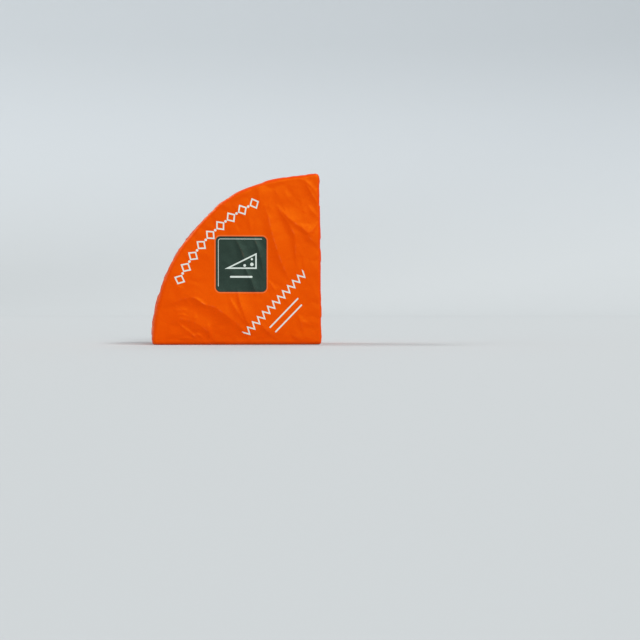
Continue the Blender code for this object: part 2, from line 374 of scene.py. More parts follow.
def band_patch(flat):
    """The band wraps round the outline: first coordinate round it, second from front to back."""
    flat = np.atleast_2d(flat)
    run, across = flat[:, 0], flat[:, 1]
    point = np.column_stack([np.interp(run, RUN, RING[:, axis]) for axis in range(2)])
    out = np.column_stack([np.interp(run, RUN, OUT[:, axis]) for axis in range(2)])
    out /= np.linalg.norm(out, axis=1)[:, None]
    front_round = np.interp(run, RUN, FRONT_ROUND)
    on_base = (np.abs(out[:, 1] + 1.0) < 0.01)
    roll = np.clip(across / FRONT_ROLL, 0.0, 1.0) * math.pi / 2
    side = np.clip((across - FRONT_ROLL) / SIDE_RUN, 0.0, 1.0)
    fall = np.clip((across - FRONT_ROLL - SIDE_RUN) / BACK_ROLL, 0.0, 1.0) * math.pi / 2
    inwards = front_round * (1 - np.sin(roll)) + CUT_ROUND * (1 - np.cos(fall))
    inwards -= np.where(on_base, 0.0, SIDE_SWELL) * np.sin(math.pi * side)
    depth = FRONT + front_round * (1 - np.cos(roll))
    depth += (BACK - FRONT - front_round - CUT_ROUND) * side + CUT_ROUND * np.sin(fall)
    flat_out = np.sin(roll) * np.cos(fall)
    places = np.column_stack([point[:, 0] - out[:, 0] * inwards, depth, point[:, 1] - out[:, 1] * inwards])
    normals = np.column_stack([out[:, 0] * flat_out, np.sin(fall) - np.cos(roll), out[:, 1] * flat_out])
    return places, normals / np.linalg.norm(normals, axis=1)[:, None]


PATCHES = {"front": front_patch, "band": band_patch, "back": back_patch}


# Folds of the foil

class Fold:
    """A crest along a path, with its height and how fast the foil falls off on its left and on its right."""

    def __init__(self, stretches, height, left, right, fade=(1.0, 1.0), rise=None, ripple=None):
        self.stretches = [(patch, dense(path)) for patch, path in stretches]
        self.height = height
        self.left = left
        self.right = right
        self.fade = fade
        self.rise = rise
        self.ripple = ripple
        layered = min(left, right) <= FREE_EDGE
        self.foot = LAYER_FOOT if layered else SOFT_FOOT
        self.lip = LIP if layered else 0.0
        mapped = [PATCHES[patch](path) for patch, path in self.stretches]
        self.places = np.vstack([places for places, _ in mapped])
        self.normals = np.vstack([normals for _, normals in mapped])

    def crest(self):
        """The height at each point of the path: it fades at the ends, and may rise along the path."""
        share = np.linspace(0.0, 1.0, len(self.places))
        start, end = self.fade
        taper = np.ones(len(share))
        if start:
            taper *= pointed(share / (0.5 * start))
        if end:
            taper *= pointed((1.0 - share) / (0.5 * end))
        if self.rise is not None:
            taper *= self.rise + (1.0 - self.rise) * share
        if self.ripple is not None:
            turns, phase = self.ripple
            taper *= 1.0 + EDGE_RIPPLE * np.sin(2 * math.pi * turns * share + phase)
        return self.height * taper

    def reach(self):
        return max(self.left, self.right) * (1.0 + self.foot)


def pointed(share):
    """Grows evenly from 0 at a fold's tip, and flattens to 1 at its full height."""
    share = np.clip(share, 0.0, 1.0)
    return share * (2.0 - share)


def dense(path, step=FOLD_STEP):
    """The path with a point every step."""
    path = [np.asarray(point, float) for point in path]
    points = []
    for start, end in zip(path, path[1:]):
        points += line(start, end, step)
    return np.array(points + [path[-1]])


def wavering(start, end, draw):
    """A free edge from start to end that wanders a little from side to side."""
    start, end = np.asarray(start, float), np.asarray(end, float)
    along = end - start
    side = np.array([-along[1], along[0]]) / np.linalg.norm(along)
    slow_and_fast = (draw.uniform(1.0, 2.0), draw.uniform(2.6, 5.2))
    waves = [(turns, draw.uniform(0.0, 2 * math.pi)) for turns in slow_and_fast]
    points = []
    for share in np.linspace(0.0, 1.0, max(2, round(float(np.linalg.norm(along)) / FOLD_STEP))):
        sway = sum(math.sin(2 * math.pi * turns * share + phase) / math.sqrt(turns) for turns, phase in waves)
        points.append(start + along * share + side * EDGE_SWING * sway * math.sin(math.pi * share))
    return points


def rippled(draw):
    """How often and from where a free edge rises and falls along its length."""
    return draw.uniform(1.5, 4.0), draw.uniform(0.0, 2 * math.pi)


def front_creases():
    return [Fold([("front", points)], height, left, right)
            for height, left, right, points in FRONT_CREASES.values()]


def ears(draw):
    """The three slanting free edges of the corner ears, from the front corner to the back edge."""
    near, far = FRONT_ROLL * 0.6, BAND - BACK_ROLL
    centre_run, crown_run, toe_run = (run_at(point) for point in ((0.0, 0.0), CROWN, TOE))
    high_reach = HIGH_EAR_SLANT * EAR_REACH
    found = []
    for corner, away, left, right in (
            (centre_run + CORNER_ROUND, EAR_REACH - CORNER_ROUND, FREE_EDGE, EAR_WIDTH),
            (crown_run - CORNER_ROUND, CORNER_ROUND - high_reach, EAR_WIDTH, FREE_EDGE),
            (toe_run - CORNER_ROUND, CORNER_ROUND - EAR_REACH, EAR_WIDTH, FREE_EDGE)):
        edge = wavering((corner, near), (corner + away, far), draw)
        found.append(Fold([("band", edge)], EAR_HEIGHT, left, right, (0.3, 0.0), ripple=rippled(draw)))
    return found


FLAP_SLANT = np.array([-1.0, 1.0]) / math.sqrt(2.0)
BASE_POINT = FLAP_SLANT * BASE_FLAP_POINT
SIDE_POINT = FLAP_SLANT * SIDE_FLAP_POINT


def side_of(point, start, end):
    """Positive where the point lies left of the line from start to end, seen from the front."""
    (px, pz), (sx, sz), (ex, ez) = point, start, end
    return (ex - sx) * (pz - sz) - (ez - sz) * (px - sx)


def under_flap(point):
    """Whether the side flap or the base flap covers this point of the back."""
    beside_crown = side_of(point, CROWN, SIDE_POINT) > 0
    below_base = side_of(point, BASE_POINT, TOE) > 0
    return beside_crown or below_base


def flap_edges(draw):
    """The free edges of the two flaps that lie on top."""
    foot = wavering((-FLAP_INSET, FLAP_INSET), BASE_POINT, draw)
    rest = wavering(BASE_POINT, TOE + (2 * FLAP_INSET, FLAP_INSET), draw)
    base = Fold([("back", foot + rest[1:])], FLAP_HEIGHT, FREE_EDGE, BASE_FLAP_WIDTH, (0.1, 0.1),
                ripple=rippled(draw))
    upper = wavering(CROWN + (-FLAP_INSET, -FLAP_INSET), SIDE_POINT, draw)
    side = Fold([("back", upper)], FLAP_HEIGHT, FREE_EDGE, SIDE_FLAP_WIDTH, (0.1, 0.0), ripple=rippled(draw))
    return [base, side]


def pleats(draw):
    """Each pleat starts as a point on the rim, widens to the back edge and shows a bit through the flaps."""
    place = random.Random(PLEAT_SEED)
    found = []
    for number in range(PLEATS):
        middle = PLEAT_FIRST_ANGLE + (PLEAT_LAST_ANGLE - PLEAT_FIRST_ANGLE) * number / (PLEATS - 1)
        start = PLEAT_START_DEPTH * place.uniform(*PLEAT_START_RANGE)
        angle = middle + place.uniform(-PLEAT_JITTER, PLEAT_JITTER)
        first_run = run_at(rim(angle)) + draw.uniform(-PLEAT_SLANT, PLEAT_SLANT)
        edge_run = run_at(rim(angle + math.degrees(PLEAT_EDGE_WIDTH / 2 / WHEEL_RADIUS)))
        nearest = int(np.argmin(np.abs(RUN - edge_run)))
        entry = RING[nearest] - OUT[nearest] * CUT_ROUND
        end_radius = WHEEL_RADIUS - PLEAT_BACK_REACH
        end_angle = math.radians(angle) + PLEAT_BACK_WIDTH / 2 / end_radius
        inner = end_radius * np.array([math.cos(end_angle), math.sin(end_angle)])
        on_back = [entry]
        covered = 0.0
        for point in wavering(entry, inner, draw)[1:]:
            covered += FOLD_STEP if under_flap(point) else 0.0
            if covered > PLEAT_UNDER_FLAP:
                break
            on_back.append(point)
        stretches = [("band", wavering((first_run, start), (edge_run, BAND), draw)), ("back", on_back)]
        found.append(Fold(stretches, PLEAT_HEIGHT, FREE_EDGE, PLEAT_EDGE_WIDTH, (0.25, 0.18),
                          rise=PLEAT_TIP_SHARE, ripple=rippled(draw)))
    return found


def crinkles():
    """Short creases drawn at random, most of them near the edges, where the foil is pulled over."""
    draw = random.Random(CRINKLE_SEED)
    found = []

    def add(patch, middle, heading, limit, heights=OTHER_CRINKLE_HEIGHT, widths=OTHER_CRINKLE_WIDTH,
            lengths=CRINKLE_LENGTH):
        length = draw.uniform(*lengths)
        turn = np.array([math.cos(heading), math.sin(heading)])
        kink = np.array([-turn[1], turn[0]]) * draw.uniform(-CRINKLE_KINK, CRINKLE_KINK) * length
        path = [middle - turn * length / 2, middle + kink, middle + turn * length / 2]
        height = draw.uniform(*heights) * draw.choice((1.0, 1.0, -1.0))
        left, right = draw.uniform(*widths), draw.uniform(*widths)
        if all(limit(point) for point in path):
            found.append(Fold([(patch, path)], height, left, right))

    def in_outline(point):
        radius = float(np.linalg.norm(point))
        inner = min(WHEEL_RADIUS - RIM_ROUND - 1.0 - radius, -point[0] - 3.5, point[1] - 3.0)
        return inner > 0.0

    def in_band(point):
        return 2.0 < point[0] < RUN[-1] - 2.0 and FRONT_ROLL * 0.5 < point[1] < BAND - BACK_ROLL * 0.5

    for number in range(FRONT_CRINKLES):
        edge = draw.random() ** EDGE_CROWDING * EDGE_REACH + EDGE_INSET
        side = draw.choice(("upright", "upright", "rim", "base"))
        if side == "upright":
            middle = np.array([-edge, draw.uniform(8.0, 90.0)])
            heading = draw.gauss(*UPRIGHT_HEADING)
        elif side == "base":
            middle = np.array([draw.uniform(-88.0, -6.0), edge])
            heading = draw.gauss(*BASE_HEADING)
        else:
            angle = draw.uniform(96.0, 174.0)
            middle = rim(angle) * (1.0 - (edge + RIM_ROUND) / WHEEL_RADIUS)
            heading = draw.gauss(angle, RIM_HEADING_SPREAD)
        add("front", middle, math.radians(heading), in_outline, FRONT_CRINKLE_HEIGHT, FRONT_CRINKLE_WIDTH)
    for number in range(BAND_CRINKLES):
        middle = np.array([draw.uniform(0.0, RUN[-1]), draw.uniform(2.0, BAND - 2.0)])
        add("band", middle, draw.gauss(math.pi / 2, 0.7), in_band)
    for number in range(BACK_CRINKLES):
        middle = rim(draw.uniform(94.0, 176.0)) * draw.uniform(0.1, 0.93)
        add("back", middle, draw.uniform(0.0, math.pi), in_outline)
    for number in range(BAND_BROAD_FOLDS):
        middle = np.array([draw.uniform(0.0, RUN[-1]), draw.uniform(8.0, BAND - 8.0)])
        add("band", middle, draw.gauss(math.pi / 2, 0.6), in_band, BROAD_HEIGHT, BROAD_WIDTH, BROAD_LENGTH)
    for number in range(BACK_BROAD_FOLDS):
        middle = rim(draw.uniform(96.0, 174.0)) * draw.uniform(0.2, 0.85)
        add("back", middle, draw.uniform(0.0, math.pi), in_outline, BROAD_HEIGHT, BROAD_WIDTH, BROAD_LENGTH)
    return found


# The foil's mesh

def lattice(low, high, step):
    """An even triangular lattice over a rectangle."""
    rows = np.arange(low[1], high[1], step * math.sqrt(3) / 2)
    points = []
    for number, row in enumerate(rows):
        columns = np.arange(low[0] + (number % 2) * step / 2, high[0], step)
        points.append(np.column_stack([columns, np.full(len(columns), row)]))
    return np.vstack(points)


def inside(points, border):
    """Which points lie inside a closed border."""
    found = np.zeros(len(points), bool)
    for (ax, ay), (bx, by) in zip(border, np.roll(border, -1, axis=0)):
        crosses = (ay > points[:, 1]) != (by > points[:, 1])
        slope = (bx - ax) / (by - ay) if by != ay else 0.0
        found ^= crosses & (points[:, 0] < ax + slope * (points[:, 1] - ay))
    return found


def gaps(points, taken):
    """How far each point lies from the nearest one that is taken."""
    tree = KDTree(len(taken))
    for index, point in enumerate(taken):
        tree.insert((point[0], point[1], 0.0), index)
    tree.balance()
    return np.array([tree.find((point[0], point[1], 0.0))[2] for point in points])


def clear_of(points, taken, gap):
    """The points that lie further than gap from all that are taken."""
    return points[gaps(points, taken) > gap]


def delaunay(points, edges):
    """The triangles between points, with the edges kept: places, triangles, and the points at each place."""
    made = delaunay_2d_cdt([Vector(point) for point in points], edges, [], 0, TOUCHING, True)
    return np.array([tuple(point) for point in made[0]]), np.array(made[2]), made[3]


class FacetNet:
    """Flat facets over a patch. Their corners lie at random places, some high and some low, and level on
    the border."""

    def __init__(self, border, spacing, stretch, depth, draw):
        scale = np.array([1.0, 1.0 / stretch])
        walk = np.cumsum(np.linalg.norm(np.diff(border * scale, axis=0), axis=1))
        edge = border[np.unique(np.searchsorted(walk, np.arange(0.0, walk[-1], spacing)))]
        grid = lattice(border.min(axis=0) * scale, border.max(axis=0) * scale, spacing)
        shift = spacing * FACET_JITTER
        grid += [[draw.uniform(-shift, shift), draw.uniform(-shift, shift)] for _ in grid]
        grid = grid[inside(grid / scale, border)]
        grid = clear_of(grid, edge * scale, spacing * FACET_BORDER_GAP)
        self.fixed = len(edge)
        self.corners = np.vstack([edge, grid / scale])
        low = 1.0 - FACET_EVEN_SHARE
        levels = [draw.choice((0.0, low)) + draw.uniform(0.0, FACET_EVEN_SHARE) for _ in grid]
        self.heights = -depth * np.array([0.0] * len(edge) + levels)
        _, faces, given = delaunay(self.corners * scale, [])
        self.faces = np.array([numbers[0] for numbers in given])[faces]

    def paths(self):
        """The facets' edges, apart from those along the border, as far as the border."""
        faces = self.faces.tolist()
        pairs = {tuple(sorted(pair)) for face in faces for pair in zip(face, face[1:] + face[:1])}
        found = []
        for first, second in sorted(pairs):
            if second >= self.fixed:
                path = dense((self.corners[first], self.corners[second]), FACET_EDGE_STEP)
                found.append(path if first >= self.fixed else path[1:])
        return found

    def height_at(self, flat):
        """The facets' height at each flat point, from its shares of the three corners round it."""
        found = np.zeros(len(flat))
        for face in self.faces:
            a, b, c = self.corners[face]
            whole = (b[0] - a[0]) * (c[1] - a[1]) - (b[1] - a[1]) * (c[0] - a[0])
            if abs(whole) < 1e-9:
                continue
            low, high = self.corners[face].min(axis=0) - TINY, self.corners[face].max(axis=0) + TINY
            near = np.flatnonzero(np.all((flat >= low) & (flat <= high), axis=1))
            u, v = flat[near, 0] - a[0], flat[near, 1] - a[1]
            second = (u * (c[1] - a[1]) - v * (c[0] - a[0])) / whole
            third = (v * (b[0] - a[0]) - u * (b[1] - a[1])) / whole
            held = (second > -TINY) & (third > -TINY) & (second + third < 1.0 + TINY)
            high_a, high_b, high_c = self.heights[face]
            level = high_a + (high_b - high_a) * second + (high_c - high_a) * third
            found[near[held]] = level[held]
        return found


def foot_points(path, fold):
    """Points along the foot of a fold's free edge, on its steep side."""
    ahead = np.gradient(path, axis=0)
    ahead /= np.linalg.norm(ahead, axis=1)[:, None]
    left = np.column_stack([-ahead[:, 1], ahead[:, 0]])
    steep_left = fold.left <= FREE_EDGE
    return (path + left * FREE_EDGE * (1.0 if steep_left else -1.0))[1:-1]


def triangulate(border, name, folds, net, step):
    """A patch as points and triangles: its border, its folds and facets as edges and a lattice between."""
    coords = [tuple(point) for point in border]
    edges = [(index, (index + 1) % len(border)) for index in range(len(border))]

    def add_path(path, joined):
        """Adds a path's points, and an edge after each point that is joined to the next."""
        first = len(coords)
        coords.extend(tuple(point) for point in path)
        edges.extend((first + index, first + index + 1) for index in np.flatnonzero(joined).tolist())

    creases = net.paths() if net else []
    free_edges, feet = [], []
    for fold in folds:
        for patch, path in fold.stretches:
            if patch != name:
                continue
            path = path[inside(path, border)] if name != "band" else path
            if min(fold.left, fold.right) > FREE_EDGE:
                creases.append(path)
                continue
            add_path(path, np.ones(len(path))[1:])
            free_edges.append(path)
            feet.append(foot_points(path, fold))
    if feet:
        feet = np.vstack(feet)
        feet = feet[inside(feet, border)]
        feet = clear_of(feet, coords, FREE_EDGE * 0.9)
        coords += [tuple(point) for point in feet]
        free_edges = np.vstack(free_edges)
    for path in creases:
        gap = gaps(path, free_edges) if len(free_edges) else np.full(len(path), np.inf)
        path, gap = path[gap > EDGE_CLEAR], gap[gap > EDGE_CLEAR]
        ways = np.linalg.norm(np.diff(path, axis=0), axis=1)
        add_path(path, gap[:-1] + gap[1:] > CROSSING * ways)
    grid = lattice(border.min(axis=0), border.max(axis=0), step)
    grid = clear_of(grid[inside(grid, border)], coords, step * CLEARANCE)
    coords += [tuple(point) for point in grid]
    rounded, faces, given = delaunay(coords, edges)
    single = border.astype(np.float32).astype(float)
    faces = faces[inside(rounded[faces].mean(axis=1), single)]
    flat = np.array([coords[numbers[0]] if numbers else point for point, numbers in zip(rounded, given)])
    return flat, faces


def facing_out(name, triangles):
    """The band and the back lie the other way round when flat, so their triangles are turned."""
    return triangles if name == "front" else triangles[:, ::-1]


def foil_net(folds):
    """All patches in one welded net: places, outward normals, heights of the facets and triangles."""
    front_ring = RING[:-1] - OUT[:-1] * FRONT_ROUND[:-1, None]
    back_ring = RING[:-1] - OUT[:-1] * CUT_ROUND
    columns = np.array([point[0] for point in line((0.0, 0.0), (BAND, 0.0), BAND_STEP)][1:])
    band_border = np.vstack([
        np.column_stack([RUN, np.zeros(len(RUN))]),
        np.column_stack([np.full(len(columns), RUN[-1]), columns]),
        np.column_stack([RUN[::-1], np.full(len(RUN), BAND)]),
        np.column_stack([np.zeros(len(columns)), columns[::-1]]),
    ])
    draw = random.Random(FACET_SEED)
    places, normals, facets, triangles = [], [], [], []
    count = 0
    for name, border, step in (("front", front_ring, FRONT_STEP), ("band", band_border, BAND_STEP),
                               ("back", back_ring, BACK_STEP)):
        net = FacetNet(border, *FACET_NETS[name], draw) if name in FACET_NETS else None
        flat, faces = triangulate(border, name, folds, net, step)
        patch_places, patch_normals = PATCHES[name](flat)
        places.append(patch_places)
        normals.append(patch_normals)
        facets.append(net.height_at(flat) if net else np.zeros(len(flat)))
        triangles.append(facing_out(name, faces) + count)
        count += len(flat)
    places, normals, triangles = np.vstack(places), np.vstack(normals), np.vstack(triangles)
    facets = np.concatenate(facets)
    _, first, index = np.unique(np.round(places, WELD_DIGITS), axis=0, return_index=True, return_inverse=True)
    triangles = index.reshape(-1)[triangles]
    whole = ((triangles[:, 0] != triangles[:, 1]) & (triangles[:, 1] != triangles[:, 2])
             & (triangles[:, 0] != triangles[:, 2]))
    return places[first], normals[first], facets[first], triangles[whole]


def raise_folds(places, normals, folds):
    """Each point's height over the plain foil, and how much its crests are marked by worn print and painted
    highlight.
    """
    height = np.zeros(len(places))
    wear_and_highlight = np.zeros(len(places))
    for fold in folds:
        reach = fold.reach()
        low, high = fold.places.min(axis=0) - reach, fold.places.max(axis=0) + reach
        near = np.flatnonzero(np.all((places > low) & (places < high), axis=1))
        crest = fold.crest()
        best = np.full(len(near), np.inf)
        best_crest = np.zeros(len(near))
        best_side = np.zeros(len(near))
        for index in range(len(fold.places) - 1):
            start, end = fold.places[index], fold.places[index + 1]
            along = end - start
            length = along @ along
            if length < 1e-12:
                continue
            away = places[near] - start
            share = np.clip(away @ along / length, 0.0, 1.0)
            offset = away - share[:, None] * along
            distance = np.linalg.norm(offset, axis=1)
            left = np.cross(fold.normals[index], along)
            closer = distance < best - 1e-9
            best = np.where(closer, distance, best)
            best_crest = np.where(closer, crest[index] * (1 - share) + crest[index + 1] * share, best_crest)
            best_side = np.where(closer, offset @ left, best_side)
        width = np.where(best_side > 0, fold.left, fold.right)
        rest = np.abs(best_crest) - abs(fold.height) * best / width
        foot = fold.foot * abs(fold.height)
        rest = np.where(rest < foot, np.maximum(rest + foot, 0.0) ** 2 / (4 * foot), rest)
        if fold.lip:
            lip = (1.0 - fold.lip) * rest + fold.lip * best_crest * np.exp(-best / LIP_WIDTH)
            rest = np.where(width > FREE_EDGE, lip, rest)
        facing = 1.0
        if len(fold.stretches) == 1:
            facing = np.clip(normals[near] @ fold.normals.mean(axis=0) * 4.0, 0.0, 1.0)
        height[near] += math.copysign(1.0, fold.height) * rest * facing
        # Crest marks: worn print with a painted highlight along the crest
        sharp = np.exp(-(best / CREST_MARK_WIDTH) ** 2) * np.clip(best_crest / CREST_MARK_HEIGHT, 0.0, 1.0)
        on_front = fold.stretches[0][0] == "front"
        wear_and_highlight[near] = np.maximum(wear_and_highlight[near], sharp * (FRONT_CREASE_WEAR_AND_HIGHLIGHT if on_front else LAYER_WEAR_AND_HIGHLIGHT))
    return height, wear_and_highlight


def fullness(places):
    """How far the printed face stands out of flat: nothing at its border, and all of it inside."""
    x, y, z = places.T
    from_rim = WHEEL_RADIUS - TOE_DROP - np.hypot(x, z) - RIM_ROUND
    from_border = np.minimum.reduce([(-x - RIM_ROUND) * UPRIGHT_FALL, z - RIM_ROUND, from_rim * RIM_FALL])
    share = np.clip(from_border / FULLNESS_REACH, 0.0, 1.0)
    return FULLNESS * (1.0 - (1.0 - share) ** 2) * (y < FRONT + TINY)


def edge_wear_and_highlight(places):
    """The foil's print is worn along the rounded edge between the printed face and the sides, with a painted
    highlight there.
    """
    depth = places[:, 1] - FRONT
    return EDGE_WEAR_AND_HIGHLIGHT * np.exp(-((depth - EDGE_MARK_DEPTH) / EDGE_MARK_WIDTH) ** 2) * (depth > TINY)


def off_base(places):
    """Nearly all of the crumple is pressed flat where the wedge stands."""
    return 0.2 + 0.8 * smooth_share(places[:, 2], 0.3, 2.0)


def slackness(places):
    """How loosely the foil lies: tight in the middle of the printed face, loose towards edges and behind."""
    x, y, z = places.T
    radius = np.hypot(x, z)
    from_edge = np.minimum.reduce([-x, z, WHEEL_RADIUS - radius])
    loose_edge = 1.0 - smooth_share(from_edge, *LOOSE_EDGE)
    front = 1.0 - smooth_share(y, FRONT + BEHIND_FACE[0], FRONT + BEHIND_FACE[1])
    slack = front * (FRONT_SLACK + EDGE_SLACK * loose_edge) + (1.0 - front) * BACK_SLACK
    return slack * off_base(places)


def foil_mesh():
    draw = random.Random(LAYER_SEED)
    folds = front_creases() + ears(draw) + flap_edges(draw) + pleats(draw) + crinkles()
    places, normals, facets, triangles = foil_net(folds)
    height, wear_and_highlight = raise_folds(places, normals, folds)
    height += fullness(places) + facets * off_base(places)
    # Worn print and painted highlight along the crests and the front's edge
    wear_and_highlight = np.maximum(wear_and_highlight, edge_wear_and_highlight(places))
    slack = slackness(places)
    shaped = places + normals * height[:, None]
    shaped[:, 0] += CENTRE_X
    mesh = bpy.data.meshes.new("foil_wrap")
    mesh.from_pydata((shaped * MM).tolist(), [], triangles.tolist())
    for name, values in (("slack", slack), ("wear_and_highlight", wear_and_highlight)):
        layer = mesh.attributes.new(name, "FLOAT", "POINT")
        layer.data.foreach_set("value", values.astype(np.float32))
    mesh.update()
    return mesh


# Expressions on sockets, for shaders and Geometry Nodes alike

class Field:
    """A number that changes over the surface: a socket, with Python's operators as Math nodes."""

    def __init__(self, graph, socket):
        self.graph = graph
        self.socket = socket

    def math(self, operation, *others):
        return self.graph.field("ShaderNodeMath", {"operation": operation}, [self, *others])

    def __add__(self, other):
        return self.math("ADD", other)

    def __sub__(self, other):
        return self.math("SUBTRACT", other)

    def __mul__(self, other):
        return self.math("MULTIPLY", other)

    def __truediv__(self, other):
        return self.math("DIVIDE", other)

    def __pow__(self, other):
        return self.math("POWER", other)

    def __rsub__(self, other):
        return self * -1.0 + other

    def __rtruediv__(self, other):
        return self.graph.field("ShaderNodeMath", {"operation": "DIVIDE"}, [other, self])

    def __neg__(self):
        return self * -1.0

    def __abs__(self):
        return self.math("ABSOLUTE")

    __radd__ = __add__
    __rmul__ = __mul__

    def lower(self, other):
        return self.math("MINIMUM", other)

    def higher(self, other):
        return self.math("MAXIMUM", other)

    def ramp(self, low, high):
        """0 below low, 1 above high and smooth between."""
        inputs = {"Value": self, "From Min": low, "From Max": high}
        return self.graph.field("ShaderNodeMapRange", {"interpolation_type": "SMOOTHSTEP"}, inputs)

    def within(self, edge, soft=PRINT_SOFT):
        """1 where the field is below edge and 0 above it."""
        return 1.0 - self.ramp(edge - soft, edge + soft)


class Graph:
    """A node tree that is written as expressions."""

    def __init__(self, tree):
        self.tree = tree

    def node(self, kind, settings=None, inputs=None):
        """A node: its settings first, then the values or links of its sockets."""
        made = self.tree.nodes.new(kind)
        for name, value in (settings or {}).items():
            setattr(made, name, value)
        pairs = enumerate(inputs) if isinstance(inputs, list) else (inputs or {}).items()
        for key, value in pairs:
            self.feed(made.inputs[key], value)
        return made

    def feed(self, socket, value):
        if isinstance(value, Field):
            value = value.socket
        if isinstance(value, bpy.types.NodeSocket):
            self.tree.links.new(value, socket)
        else:
            socket.default_value = value

    def field(self, kind, settings=None, inputs=None, output=0):
        return Field(self, self.node(kind, settings, inputs).outputs[output])

    def warped(self, place, scale, detail, sway):
        """A place moved by a noise of that scale and detail, so that a pattern there isn't even."""
        noise = self.node("ShaderNodeTexNoise", None, {"Vector": place, "Scale": scale, "Detail": detail})
        inputs = [noise.outputs["Color"], (sway, sway, sway), place]
        return self.node("ShaderNodeVectorMath", {"operation": "MULTIPLY_ADD"}, inputs).outputs[0]

    def mix(self, share, first, second):
        """A colour between two. Mix takes its colours in sockets 6 and 7 and gives one in output 2."""
        made = self.node("ShaderNodeMix", {"data_type": "RGBA"}, {0: share, 6: first, 7: second})
        return made.outputs[2]


# Crumple of the foil, in Geometry Nodes

CRUMPLE_INPUTS = {
    "Facet size": 0.0105,
    "Facet slope": 0.105,
    "Crinkle size": 0.0042,
    "Crinkle slope": 0.085,
    "Swell size": 0.034,
    "Swell height": 0.00034,
    "Seed": 4.0,
}


def crumple_tree():
    """Moves the foil in and out by flat facets of two sizes and by a slow swell, as far as it is slack."""
    tree = bpy.data.node_groups.new("foil_crumple", "GeometryNodeTree")
    tree.interface.new_socket("Geometry", in_out="INPUT", socket_type="NodeSocketGeometry")
    for name in CRUMPLE_INPUTS:
        tree.interface.new_socket(name, in_out="INPUT", socket_type="NodeSocketFloat")
    tree.interface.new_socket("Foil", in_out="INPUT", socket_type="NodeSocketMaterial")
    tree.interface.new_socket("Geometry", in_out="OUTPUT", socket_type="NodeSocketGeometry")
    graph = Graph(tree)
    given = graph.node("NodeGroupInput")
    size = {name: Field(graph, given.outputs[name]) for name in CRUMPLE_INPUTS}
    slack = graph.field("GeometryNodeInputNamedAttribute", {"data_type": "FLOAT"}, {"Name": "slack"})
    place = graph.node("GeometryNodeInputPosition").outputs[0]
    normal = graph.node("GeometryNodeInputNormal").outputs[0]
    seed = graph.node("ShaderNodeCombineXYZ", None, [size["Seed"], size["Seed"] * 1.7, size["Seed"] * 2.3])

    def scaled(length):
        """The place in units of a length, warped a little so that the facets aren't even."""
        shrunk = graph.node("ShaderNodeVectorMath", {"operation": "SCALE"}, {0: place, "Scale": 1.0 / length})
        moved = graph.node("ShaderNodeVectorMath", {"operation": "ADD"}, [shrunk.outputs[0], seed.outputs[0]])
        return graph.warped(moved.outputs[0], 0.9, 1.0, 0.9)

    def facets(length, slope):
        settings = {"feature": "DISTANCE_TO_EDGE"}
        distance = graph.field("ShaderNodeTexVoronoi", settings, {"Vector": scaled(length), "Scale": 1.0})
        return (distance - 0.22) * length * slope

    broad = facets(size["Facet size"], size["Facet slope"])
    fine = facets(size["Crinkle size"], size["Crinkle slope"])
    swell_place = scaled(size["Swell size"])
    swell = graph.field("ShaderNodeTexNoise", None, {"Vector": swell_place, "Scale": 1.0, "Detail": 0.0})
    height = broad * slack + fine * slack * slack + (swell - 0.5) * size["Swell height"] * 2.0
    offset = graph.node("ShaderNodeVectorMath", {"operation": "SCALE"}, {0: normal, "Scale": height})
    inputs = {"Geometry": given.outputs["Geometry"], "Offset": offset.outputs[0]}
    moved = graph.node("GeometryNodeSetPosition", None, inputs)
    smooth = graph.node("GeometryNodeSetShadeSmooth", None, {"Geometry": moved.outputs[0]})
    real = graph.node("GeometryNodeRealizeInstances", None, {"Geometry": smooth.outputs[0]})
    inputs = {"Geometry": real.outputs[0], "Material": given.outputs["Foil"]}
    coated = graph.node("GeometryNodeSetMaterial", None, inputs)
    graph.node("NodeGroupOutput", None, [coated.outputs[0]])
    return tree


def crumple(obj, material):
    """Crumples the object's foil and leaves it a plain mesh."""
    tree = crumple_tree()
    modifier = obj.modifiers.new("crumple", "NODES")
    modifier.node_group = tree
    sockets = {item.name: item.identifier for item in tree.interface.items_tree if item.in_out == "INPUT"}
    for name, value in CRUMPLE_INPUTS.items():
        modifier[sockets[name]] = value
    modifier[sockets["Foil"]] = material
    bpy.context.view_layer.update()
    graph = bpy.context.evaluated_depsgraph_get()
    shaped = obj.evaluated_get(graph)
    mesh = bpy.data.meshes.new_from_object(shaped, preserve_all_data_layers=True, depsgraph=graph)
    obj.modifiers.clear()
    obj.data = mesh


# Materials

def distance_2d(first, second):
    return (first * first + second * second) ** 0.5


def box_distance(u, v, half, corner):
    """Distance to the outline of a rounded rectangle, negative inside."""
    over_u = abs(u) - (half[0] - corner)
    over_v = abs(v) - (half[1] - corner)
    outer = distance_2d(over_u.higher(0.0), over_v.higher(0.0))
    return outer + over_u.higher(over_v).lower(0.0) - corner


def wedge_sign(u, v):
    """A plain wedge outline with three specks, and a bar under it, round the label's middle."""
    slope = (u * 0.50 - v + 2.0) * 0.894
    wedge = (u - 8.6).higher(-2.6 - v).higher(-slope)
    sign = abs(wedge + 0.4).within(0.38)
    for spot_u, spot_v, size in ((5.9, -0.1, 0.95), (1.9, -0.7, 0.75), (5.9, 2.8, 0.6)):
        sign = sign.higher(distance_2d(u - spot_u, v - spot_v).within(size))
    return sign.higher(box_distance(u, v + 7.0, (6.2, 0.5), 0.4).within(0.0))


def label_line(u, v, edge):
    """The line along the label's top and its left side."""
    on_top = (8.0 - v).within(0.0) * (u - LABEL_LINE_END[0]).within(0.0)
    on_left = (u + 8.0).within(0.0) * (LABEL_LINE_END[1] - v).within(0.0)
    return abs(edge + LABEL_LINE_INSET).within(0.14) * on_top.higher(on_left)


